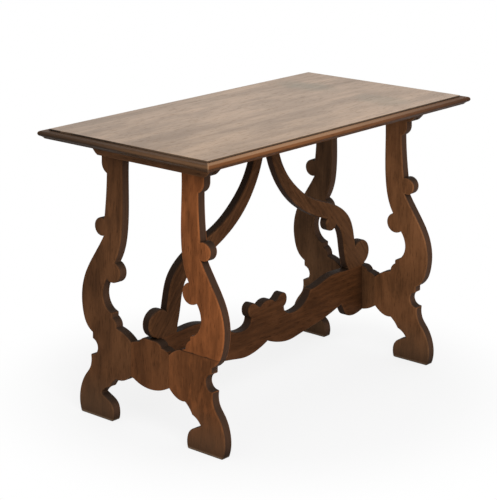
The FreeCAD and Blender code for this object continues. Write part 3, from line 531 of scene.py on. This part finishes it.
def moulded_walnut(name, strip, woods):
    """Walnut planed to a moulding and waxed: a paler flat with a painted sheen, worn bright with a painted
    highlight at the corners, dark in the quirk, and painted shade below.
    """
    material, tree = new_material(name)
    space, object_space = grain_space(tree, strip.grain, MOULDING_PLACE)
    figured, pores = figure(tree, space)[:2]
    colour = figured_colour(tree, toned(woods.moulding, strip.light, strip.red), 0.3, figured, pores)
    low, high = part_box("top_board_wide")
    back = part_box("top_board_back")[1]
    half_board = ((high[0] - low[0]) / 2, (back[1] - low[1]) / 2, 0)
    outside = add(tree, "ShaderNodeVectorMath", {"operation": "ABSOLUTE"}, {0: object_space})
    beyond = add(tree, "ShaderNodeVectorMath", {"operation": "SUBTRACT", 1: half_board},
                 {0: outside.outputs[0]})
    out = add(tree, "ShaderNodeVectorMath", {"operation": "DOT_PRODUCT", 1: strip.outward},
              {0: beyond.outputs[0]})
    # Sleeves rub the flat of the moulding pale and a painted sheen makes it paler still, or it keeps its dark
    # wax.
    facing = add(tree, "ShaderNodeSeparateXYZ", {}, {0: add(tree, "ShaderNodeNewGeometry").outputs["Normal"]})
    flat = add(tree, "ShaderNodeMapRange",
               {"From Min": 0.75, "From Max": 0.97, "To Min": 0.0, "To Max": abs(strip.polish)},
               {"Value": facing.outputs["Z"]})
    colour = blend(tree, flat.outputs[0], colour, woods.rubbed_and_highlight if strip.polish > 0 else woods.wax_and_shade)
    # Left of the middle of the front the strips are bright. Away from there they are darker.
    bright_spot = (cad_low[0] * BRIGHT_SPOT_SHARE, cad_low[1], 0)
    there = add(tree, "ShaderNodeVectorMath", {"operation": "SUBTRACT", 1: bright_spot}, {0: object_space})
    level = add(tree, "ShaderNodeVectorMath", {"operation": "MULTIPLY", 1: (1, 2, 0)}, {0: there.outputs[0]})
    far = add(tree, "ShaderNodeVectorMath", {"operation": "LENGTH"}, {0: level.outputs[0]})
    darker = add(tree, "ShaderNodeMapRange",
                 {"From Min": 0.12, "From Max": 0.7, "To Min": 0.0, "To Max": 0.9},
                 {"Value": far.outputs["Value"]})
    colour = blend(tree, darker.outputs[0], colour, toned(woods.moulding, 0.45 * strip.light, strip.red))
    # The corners are worn bright in a line along the mitre, which is also a painted highlight.
    split = add(tree, "ShaderNodeVectorMath", {"operation": "DOT_PRODUCT", 1: (1, -1, 0)},
                {0: beyond.outputs[0]})
    from_mitre = add(tree, "ShaderNodeMath", {"operation": "ABSOLUTE"}, {0: split.outputs["Value"]})
    mitre = add(tree, "ShaderNodeMapRange",
                {"From Min": 0.5 * MILLIMETRE, "From Max": 3 * MILLIMETRE, "To Min": 0.4, "To Max": 0.0},
                {"Value": from_mitre.outputs[0]})
    colour = blend(tree, mitre.outputs[0], colour, woods.rubbed_and_highlight)
    # Wax lies in the quirk against the boards. The underside is painted darker: a painted shade.
    quirk = add(tree, "ShaderNodeMapRange",
                {"From Min": 0.5 * MILLIMETRE, "From Max": 2.5 * MILLIMETRE, "To Min": 0.85, "To Max": 0.0},
                {"Value": out.outputs["Value"]})
    colour = blend(tree, quirk.outputs[0], colour, woods.wax_and_shade)
    under_shade = add(tree, "ShaderNodeMapRange",
                {"From Min": -0.6, "From Max": 0.1, "To Min": 0.4, "To Max": 0.0},
                {"Value": facing.outputs["Z"]})
    colour = blend(tree, under_shade.outputs[0], colour, woods.wax_and_shade)
    finish_wood(tree, colour, figured, pores, rough=0.45, specular=0.03, coarse=0.12)
    return material


def plain_beech(name, woods):
    """Turned beech: pale, with short darker flecks along the grain."""
    material, tree = new_material(name)
    space = grain_space(tree, UPRIGHT, (0, 0, 0))[0]
    fleck_space = add(tree, "ShaderNodeVectorMath", {"operation": "MULTIPLY", 1: (1, 1, 0.2)}, {0: space})
    flecks = add(tree, "ShaderNodeTexNoise", {"Scale": 1 / FLECK_WIDTH, "Detail": 2.0},
                 {"Vector": fleck_space.outputs[0]})
    dark = toned(woods.beech, light=0.7, red=1.05)
    wood = add(tree, "ShaderNodeValToRGB", {"stops": [(0.35, dark), (0.6, woods.beech)]},
               {0: flecks.outputs[0]})
    finish_wood(tree, wood.outputs[0], flecks.outputs[0], flecks.outputs[0],
                rough=0.6, specular=0.3, coarse=0.1)
    return material


def dull_steel(name, woods):
    """Drawn steel gone dull: grey metal with a cloudy sheen."""
    material, tree = new_material(name)
    space = grain_space(tree, UPRIGHT, (0, 0, 0))[0]
    clouds = add(tree, "ShaderNodeTexNoise", {"Scale": 1 / STEEL_CLOUD_WIDTH, "Detail": 3.0},
                 {"Vector": space})
    dark = toned(woods.steel, light=0.6, red=1)
    tint = add(tree, "ShaderNodeValToRGB", {"stops": [(0.35, dark), (0.65, woods.steel)]},
               {0: clouds.outputs[0]})
    roughness = add(tree, "ShaderNodeMapRange", {"To Min": 0.35, "To Max": 0.6}, {"Value": clouds.outputs[0]})
    shader = add(tree, "ShaderNodeBsdfPrincipled", {"Metallic": 1.0},
                 {"Base Color": tint.outputs[0], "Roughness": roughness.outputs[0]})
    add(tree, "ShaderNodeOutputMaterial", {}, {"Surface": shader.outputs[0]})
    return material


def neighbours(node_name):
    """A search tree of all the other solids, to tell a glued face from a free one."""
    places, corners = [], []
    for name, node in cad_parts.items():
        if name == node_name:
            continue
        start = len(places)
        places.extend(vertex.co.copy() for vertex in node.data.vertices)
        corners.extend([start + i for i in face.vertices] for face in node.data.polygons)
    return BVHTree.FromPolygons(places, corners)


def touches(loop, others):
    """Whether the face beside an edge lies against another solid there."""
    start = loop.vert.co
    end = loop.link_loop_next.vert.co
    inward = loop.face.normal.cross((end - start).normalized())
    beside = (start + end) / 2 + inward * PROBE_INSET
    return others.find_nearest(beside, GLUE_GAP)[0] is not None


def smooth_runs(faces):
    """Faces gathered into runs that bend smoothly from one face to the next."""
    left = set(faces)
    runs = []
    for first in faces:
        if first not in left:
            continue
        left.remove(first)
        run = [first]
        for face in run:
            for edge in face.edges:
                if edge.calc_face_angle(math.pi) < SMOOTH_BEND:
                    following = [other for other in edge.link_faces if other in left]
                    left.difference_update(following)
                    run.extend(following)
        runs.append(run)
    return runs


def in_order(edges, corner):
    """The corners along a line of edges, walked from one end."""
    left = list(edges)
    line = [corner]
    while True:
        following = [edge for edge in left if line[-1] in edge.verts]
        if not following:
            return line
        left.remove(following[0])
        line.append(following[0].other_vert(line[-1]))


def straighten(shape, run, across):
    """Lays a sawn edge anew in facets that run straight through the plank, so its arrises wear evenly."""
    inside = set(run)
    ends, near_side, far_side = [], [], []
    depths = [vertex.co.dot(across) for face in run for vertex in face.verts]
    near, far = max(depths), min(depths)
    for face in run:
        for edge in face.edges:
            if all(other in inside for other in edge.link_faces):
                continue
            first, second = edge.verts
            depth = (first.co + second.co).dot(across) / 2
            if abs((second.co - first.co).normalized().dot(across)) > THROUGH_SHARE:
                ends.append(sorted(edge.verts, key=lambda corner: -corner.co.dot(across)))
            elif abs(depth - near) < ON_FACE:
                near_side.append(edge)
            elif abs(depth - far) < ON_FACE:
                far_side.append(edge)
            else:
                return
    if len(ends) != 2:
        return
    near_line = in_order(near_side, ends[0][0])
    far_line = in_order(far_side, ends[0][1])
    if [near_line[-1], far_line[-1]] != ends[1]:
        return
    forward = any(loop.face in inside and loop.vert == near_line[0] and loop.edge in near_side
                  for loop in near_line[0].link_loops)
    bmesh.ops.delete(shape, geom=run, context="FACES")
    # Pieces of the arris too short to be worn round are joined to the next one.
    for line in (near_line, far_line):
        for corner in line[1:-1]:
            place = line.index(corner)
            if min((corner.co - line[place + step].co).length for step in (-1, 1)) < SHORT_PIECE:
                line.remove(corner)
                bmesh.ops.dissolve_verts(shape, verts=[corner])

    def slant(here, there):
        gap = near_line[here].co - far_line[there].co
        return (gap - across * gap.dot(across)).length

    here = there = 0
    while here < len(near_line) - 1 or there < len(far_line) - 1:
        steps = [(on, over) for on, over in ((1, 1), (1, 0), (0, 1))
                 if here + on < len(near_line) and there + over < len(far_line)]
        on, over = min(steps, key=lambda step: slant(here + step[0], there + step[1]))
        corners = near_line[here:here + on + 1] + far_line[there:there + over + 1][::-1]
        shape.faces.new(corners if forward else corners[::-1])
        here, there = here + on, there + over


def chains(edges):
    """Edges gathered into chains that hang together end to end."""
    left = set(edges)
    gathered = []
    for first in edges:
        if first not in left:
            continue
        left.remove(first)
        chain = [first]
        for edge in chain:
            for vertex in edge.verts:
                following = [other for other in vertex.link_edges if other in left]
                left.difference_update(following)
                chain.extend(following)
        gathered.append(chain)
    return gathered


def worn_piece(node_name, piece_name, arris, seam_share, stop, materials):
    """A solid of the table with its free arrises worn round, in place of the plain one."""
    shape = bmesh.new()
    shape.from_mesh(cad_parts[node_name].data)
    bmesh.ops.remove_doubles(shape, verts=shape.verts, dist=SAME_CORNER)
    bmesh.ops.dissolve_limit(shape, angle_limit=FLAT_BEND, use_dissolve_boundaries=False,
                             verts=shape.verts, edges=shape.edges, delimit=set())
    shape.normal_update()
    across = max(shape.faces, key=lambda face: face.calc_area()).normal.copy()
    for run in smooth_runs([face for face in shape.faces if abs(face.normal.dot(across)) < SAWN_FACING]):
        straighten(shape, run, across)
    shape.normal_update()
    others = neighbours(node_name)
    weights = shape.edges.layers.float.new("bevel_weight_edge")
    joint_corners = set()
    free = []
    for edge in shape.edges:
        if len(edge.link_faces) != 2 or edge.calc_face_angle() < ARRIS_BEND:
            continue
        glued = sum(touches(loop, others) for loop in edge.link_loops)
        if glued == 2 or not edge.is_convex:
            edge.smooth = False
        elif glued == 1:
            edge[weights] = seam_share
            joint_corners.update(edge.verts)
        else:
            edge[weights] = 1
            free.append(edge)
    # A worn arris stops a little before it reaches a glued joint.
    for edge in free:
        middle = (edge.verts[0].co + edge.verts[1].co) / 2
        if any((middle - corner.co).length < stop for corner in joint_corners):
            edge[weights] = 0
    # The rims of the screws' bores are out of reach and stay sharp.
    for chain in chains(free):
        if sum(edge.calc_length() for edge in chain) < BORE_RIM:
            for edge in chain:
                edge[weights] = 0
                edge.smooth = False
    for face in shape.faces:
        face.smooth = True
    mesh = bpy.data.meshes.new(piece_name)
    shape.to_mesh(mesh)
    shape.free()
    for material in materials:
        mesh.materials.append(material)
    piece = bpy.data.objects.new(piece_name, mesh)
    bpy.context.scene.collection.objects.link(piece)
    rounding = piece.modifiers.new("worn arrises", "BEVEL")
    rounding.limit_method = "WEIGHT"
    rounding.width = arris
    rounding.segments = ARRIS_FACETS
    rounding.use_clamp_overlap = False
    rounding.loop_slide = False
    rounding.material = len(materials) - 1
    flat = piece.modifiers.new("flat faces", "WEIGHTED_NORMAL")
    flat.keep_sharp = True
    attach(piece, "root")
    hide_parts(node_name)


def dress_planks(names, arris, stop_share):
    """Waxed walnut planks with worn arrises, each from its own place in the log."""
    scene = bpy.context.scene
    woods = scene.table_wood
    for name in names:
        plank = PLANKS[name]
        face = toned(woods.plank, plank.light, plank.red)
        sawn = toned(woods.sawn, plank.sawn, 1)
        # The worn arrises get a lighter copy of the face colour: partly bare wood, partly a painted highlight
        # along the edges.
        worn = toned(face, light=1.18, red=0.98)
        mended = name == MENDED_LEG
        wood = waxed_walnut(f"waxed_walnut_{name}", plank, face, sawn, mended, woods)
        rubbed_and_highlight = waxed_walnut(f"rubbed_highlit_walnut_{name}", plank, worn, None, mended, woods)
        worn_piece(name, f"walnut_{name}", arris, scene.table_edges.seam_share, stop_share * arris,
                   [wood, rubbed_and_highlight])


class TABLE_OT_dress_top(bpy.types.Operator):
    """Give the two boards of the top their faded polish and softened arrises"""

    bl_idname = "table.dress_top"
    bl_label = "Dress the top"

    def execute(self, context):
        woods = context.scene.table_wood
        edges = context.scene.table_edges
        for name, place in BOARDS.items():
            wood = faded_walnut(f"faded_walnut_{name}", place, woods)
            worn_piece(name, f"faded_{name}", edges.board, edges.seam_share, 0, [wood])
        return {"FINISHED"}


class TABLE_OT_dress_mouldings(bpy.types.Operator):
    """Give the four mitred strips round the top their rubbed wax, with painted sheen, highlight and shade"""

    bl_idname = "table.dress_mouldings"
    bl_label = "Dress the mouldings"

    def execute(self, context):
        woods = context.scene.table_wood
        edges = context.scene.table_edges
        for name, strip in MOULDINGS.items():
            wood = moulded_walnut(f"moulded_walnut_{name}", strip, woods)
            worn_piece(name, f"waxed_{name}", edges.moulding, 0, 0, [wood])
        return {"FINISHED"}


class TABLE_OT_dress_battens(bpy.types.Operator):
    """Wear and wax the two cross battens under the top"""

    bl_idname = "table.dress_battens"
    bl_label = "Dress the battens"

    def execute(self, context):
        edges = context.scene.table_edges
        dress_planks(("bearer_left", "bearer_right"), edges.batten, 0)
        return {"FINISHED"}


class TABLE_OT_dress_trestles(bpy.types.Operator):
    """Wear and wax the lyre legs and the cross blocks between them"""

    bl_idname = "table.dress_trestles"
    bl_label = "Dress the trestles"

    def execute(self, context):
        edges = context.scene.table_edges
        legs = ("leg_left_front", "leg_left_back", "leg_right_front", "leg_right_back")
        dress_planks(legs, edges.plank, 0)
        dress_planks(("cross_block_left", "cross_block_right"), edges.plank, edges.stop_share)
        return {"FINISHED"}


class TABLE_OT_dress_stretcher(bpy.types.Operator):
    """Wear and wax the crested stretcher"""

    bl_idname = "table.dress_stretcher"
    bl_label = "Dress the stretcher"

    def execute(self, context):
        dress_planks(("stretcher",), context.scene.table_edges.plank, 0)
        return {"FINISHED"}


class TABLE_OT_dress_braces(bpy.types.Operator):
    """Wear and wax the two scrolled braces"""

    bl_idname = "table.dress_braces"
    bl_label = "Dress the braces"

    def execute(self, context):
        edges = context.scene.table_edges
        dress_planks(("brace_left", "brace_right"), edges.brace, edges.stop_share)
        return {"FINISHED"}


class TABLE_OT_dress_fasteners(bpy.types.Operator):
    """Finish the dowels, the tenon pegs and the screws inside the joints"""

    bl_idname = "table.dress_fasteners"
    bl_label = "Dress the fasteners"

    def execute(self, context):
        woods = context.scene.table_wood
        beech = plain_beech("turned_beech", woods)
        stick = toned(woods.plank, PEG.light, PEG.red)
        peg = waxed_walnut("cleft_walnut_pegs", PEG, stick, None, False, woods)
        steel = dull_steel("dull_drawn_steel", woods)
        for names, material in ((DOWELS, beech), (("tenon_pegs",), peg), (("top_screws",), steel)):
            for name in names:
                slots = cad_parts[name].data.materials
                slots.clear()
                slots.append(material)
        return {"FINISHED"}


class TABLE_OT_set_stage(bpy.types.Operator):
    """Lay the white floor, set the light and place the camera"""

    bl_idname = "table.set_stage"
    bl_label = "Set the stage"

    def execute(self, context):
        scene = context.scene
        stage = scene.table_stage
        scene.view_settings.view_transform = "Standard"

        # A matt white floor that the camera sees as white, with a part of the table's shadow left on it.
        paper, tree = new_material("matt_white_paper")
        path = add(tree, "ShaderNodeLightPath")
        spot = add(tree, "ShaderNodeTexCoord").outputs["Object"]
        away = add(tree, "ShaderNodeVectorMath", {"operation": "LENGTH"}, {0: spot})
        whiter = add(tree, "ShaderNodeMapRange",
                     {"interpolation_type": "SMOOTHSTEP", "From Min": 0.4, "From Max": 0.75,
                      "To Min": 0.82, "To Max": 1.0},
                     {"Value": away.outputs["Value"]})
        white_share = add(tree, "ShaderNodeMath", {"operation": "MULTIPLY"},
                          {0: path.outputs["Is Camera Ray"], 1: whiter.outputs[0]})
        matt = add(tree, "ShaderNodeBsdfDiffuse", {"Color": PAPER_GREY})
        glow = add(tree, "ShaderNodeEmission", {"Color": WHITE, "Strength": 1.0})
        mixed = add(tree, "ShaderNodeMixShader", {},
                    {0: white_share.outputs[0], 1: matt.outputs[0], 2: glow.outputs[0]})
        add(tree, "ShaderNodeOutputMaterial", {}, {"Surface": mixed.outputs[0]})
        sheet = bpy.data.meshes.new("floor")
        half = stage.floor_width / 2
        sheet.from_pydata([(-half, -half, 0), (half, -half, 0), (half, half, 0), (-half, half, 0)], [],
                          [(0, 1, 2, 3)])
        sheet.materials.append(paper)
        floor = bpy.data.objects.new("floor", sheet)
        scene.collection.objects.link(floor)

        # The sky lights the table evenly, and the camera sees it white.
        sky = bpy.data.worlds.new("pale_studio")
        sky.use_nodes = True
        tree = sky.node_tree
        tree.nodes.clear()
        path = add(tree, "ShaderNodeLightPath")
        strength = add(tree, "ShaderNodeMapRange", {"To Min": stage.sky, "To Max": 1.0},
                       {"Value": path.outputs["Is Camera Ray"]})
        light = add(tree, "ShaderNodeBackground", {"Color": WHITE}, {"Strength": strength.outputs[0]})
        add(tree, "ShaderNodeOutputWorld", {}, {"Surface": light.outputs[0]})
        scene.world = sky

        lamp = bpy.data.lights.new("key_softbox", "AREA")
        lamp.size = stage.key_width
        lamp.energy = stage.key_power
        key = bpy.data.objects.new("key_softbox", lamp)
        key.location = KEY_PLACE
        key.rotation_euler = (Vector(KEY_AIM) - key.location).to_track_quat("-Z", "Y").to_euler()
        key.visible_glossy = False
        scene.collection.objects.link(key)

        lens = bpy.data.cameras.new("camera")
        lens.lens = stage.lens
        lens.sensor_width = FILM_WIDTH
        lens.clip_end = CAMERA_REACH
        camera = bpy.data.objects.new("camera", lens)
        turn, tilt = stage.azimuth, stage.elevation
        back = Vector((math.sin(turn) * math.cos(tilt), -math.cos(turn) * math.cos(tilt), math.sin(tilt)))
        camera.location = Vector(stage.aim) + back * stage.distance
        camera.rotation_euler = (-back).to_track_quat("-Z", "Y").to_euler()
        scene.collection.objects.link(camera)
        scene.camera = camera
        return {"FINISHED"}


OPERATORS = (
    TABLE_OT_dress_top, TABLE_OT_dress_mouldings, TABLE_OT_dress_battens, TABLE_OT_dress_trestles,
    TABLE_OT_dress_stretcher, TABLE_OT_dress_braces, TABLE_OT_dress_fasteners, TABLE_OT_set_stage,
)


class TABLE_PT_panel(bpy.types.Panel):
    """Lists the table's settings and the steps that dress it"""

    bl_idname = "TABLE_PT_panel"
    bl_label = "Walnut trestle table"
    bl_space_type = "VIEW_3D"
    bl_region_type = "UI"
    bl_category = "Table"

    def draw(self, context):
        for settings in (context.scene.table_edges, context.scene.table_wood, context.scene.table_stage):
            box = self.layout.box()
            for name in settings.__annotations__:
                box.prop(settings, name)
        for operator in OPERATORS:
            self.layout.operator(operator.bl_idname)


CLASSES = (WornEdgeSettings, WoodSettings, StageSettings, *OPERATORS, TABLE_PT_panel)


def register():
    """Adds the classes and the scene's settings."""
    for item in CLASSES:
        bpy.utils.register_class(item)
    bpy.types.Scene.table_edges = PointerProperty(type=WornEdgeSettings)
    bpy.types.Scene.table_wood = PointerProperty(type=WoodSettings)
    bpy.types.Scene.table_stage = PointerProperty(type=StageSettings)


def unregister():
    """Takes the settings and the classes out again."""
    del bpy.types.Scene.table_stage
    del bpy.types.Scene.table_wood
    del bpy.types.Scene.table_edges
    for item in reversed(CLASSES):
        bpy.utils.unregister_class(item)


def main():
    """Dresses the whole table."""
    register()
    bpy.ops.table.dress_top()
    bpy.ops.table.dress_mouldings()
    bpy.ops.table.dress_battens()
    bpy.ops.table.dress_trestles()
    bpy.ops.table.dress_stretcher()
    bpy.ops.table.dress_braces()
    bpy.ops.table.dress_fasteners()
    bpy.ops.table.set_stage()


if __name__ == "__main__":
    main()
